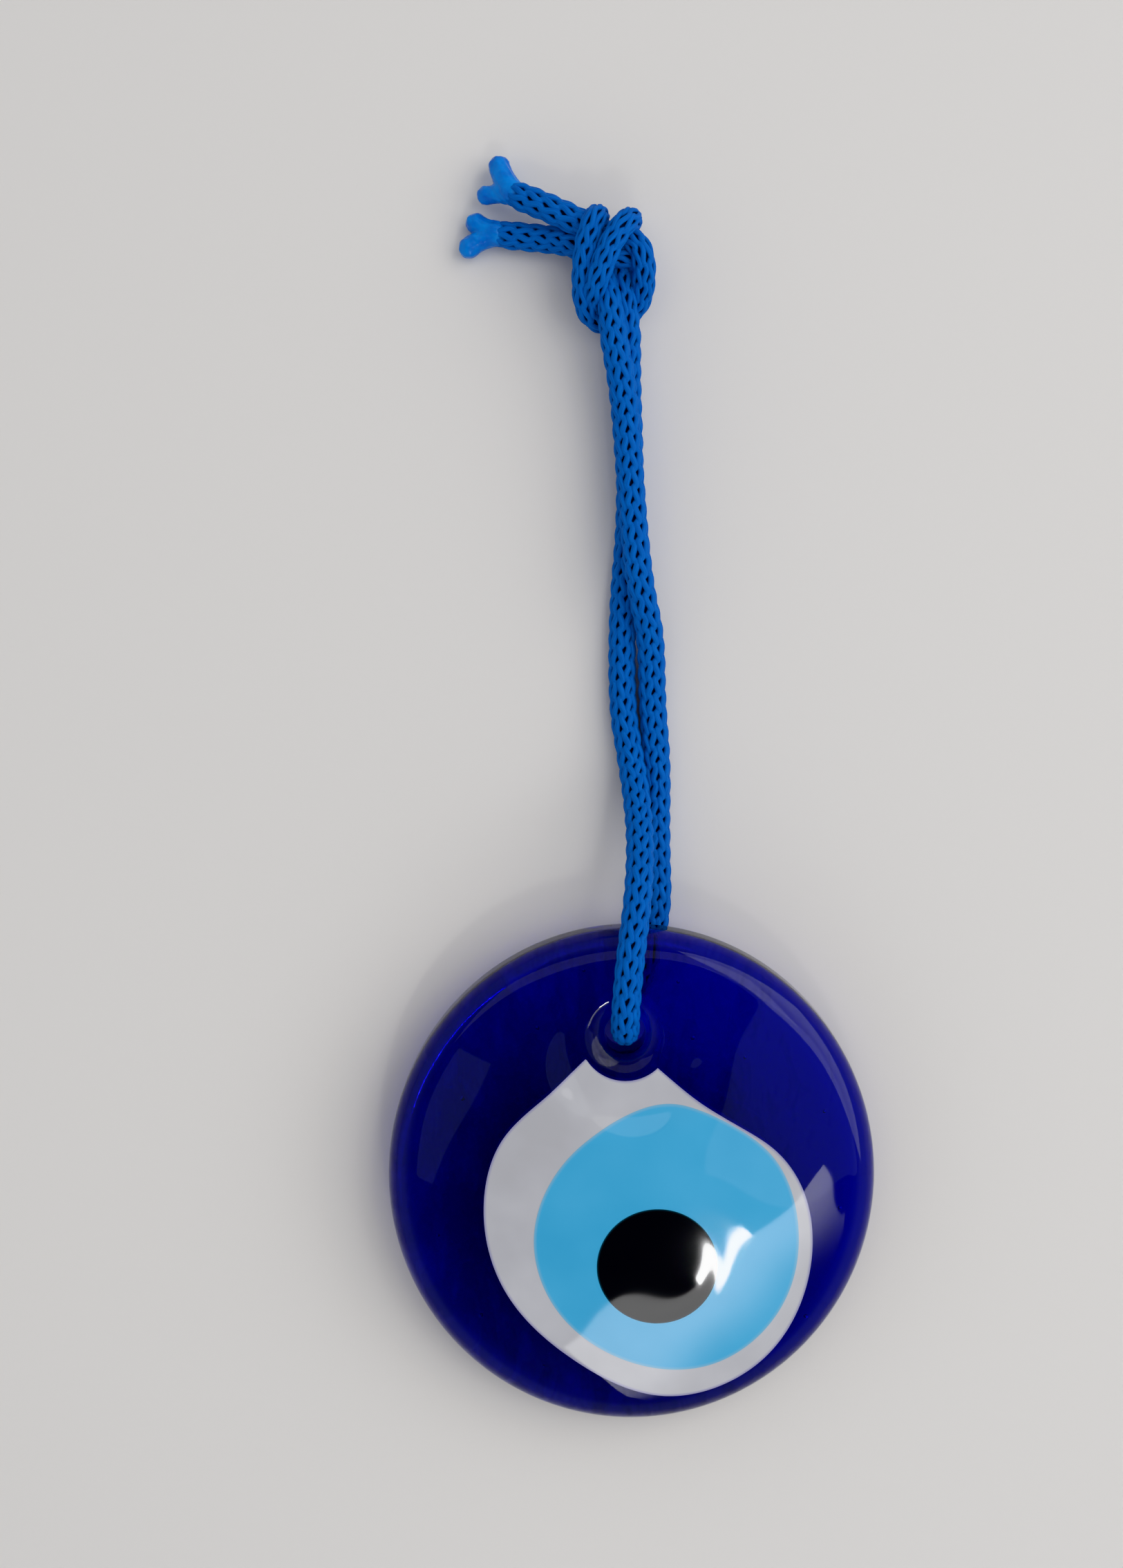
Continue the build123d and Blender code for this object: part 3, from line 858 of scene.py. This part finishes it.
def make_lights():
    """A dim room and the soft lights that are seen in the glass."""
    # a dim ceiling with brighter walls below it
    world = bpy.data.worlds.new("world")
    world.use_nodes = True
    nodes, links = world.node_tree.nodes, world.node_tree.links
    place = nodes.new("ShaderNodeTexCoord")
    split = nodes.new("ShaderNodeSeparateXYZ")
    ramp = nodes.new("ShaderNodeValToRGB")
    low, high = ramp.color_ramp.elements
    low.position, low.color = 0.55, (0.86, 0.89, 0.95, 1)
    high.position, high.color = 0.86, (0.10, 0.10, 0.11, 1)
    links.new(place.outputs["Generated"], split.inputs["Vector"])
    links.new(split.outputs["Z"], ramp.inputs["Fac"])
    links.new(ramp.outputs["Color"], nodes["Background"].inputs["Color"])
    nodes["Background"].inputs["Strength"].default_value = 0.72
    bpy.context.scene.world = world
    # the key light, a window seen in the lower right of the glass, its bright edge, two sides
    area_light("key", (0.95, 0.35), 0.8, (0.8, 0.8), 4.4)
    area_light("window", (0.225, -0.655), 0.62, (0.27, 0.1), 12.0, turn=radians(47), fades=True)
    area_light("window_edge", (0.176, -0.548), 0.45, (0.038, 0.006), 330.0, turn=radians(50))
    bluish = (0.85, 0.9, 1.0)
    area_light("side", (0.5, -0.16), 0.7, (0.4, 0.34), 1.9, colour=bluish)
    area_light("left", (-0.27, -0.3), 0.6, (0.13, 0.03), 2.0, turn=radians(66), colour=bluish)
    area_light("ceiling", (0.0, 0.32), 0.9, (1.1, 0.5), 2.6)


make_floor()
make_lights()
bpy.context.scene.view_settings.view_transform = "Khronos PBR Neutral"

# ========================================================================== riding, and the CAD parts hidden
for piece, node, name in (
    (disc, "glass_body", "cobalt_glass"),
    (white_drop, "white_drop", "white_glass"),
    (sky_drop, "sky_blue_drop", "sky_blue_glass"),
    (pupil_drop, "pupil_drop", "black_glass"),
):
    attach(piece, "pendant")
    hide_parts(node)
for piece, node in ((upper_end, "upper_melted_end"), (lower_end, "lower_melted_end")):
    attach(piece, "hang_loop")
    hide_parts(node)
for piece in (front_cord, back_cord):
    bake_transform(piece)
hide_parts("cord_through_hole", "front_strand", "knot", "lower_tail")
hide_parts("cord_through_hole", "back_strand", "knot", "upper_tail")
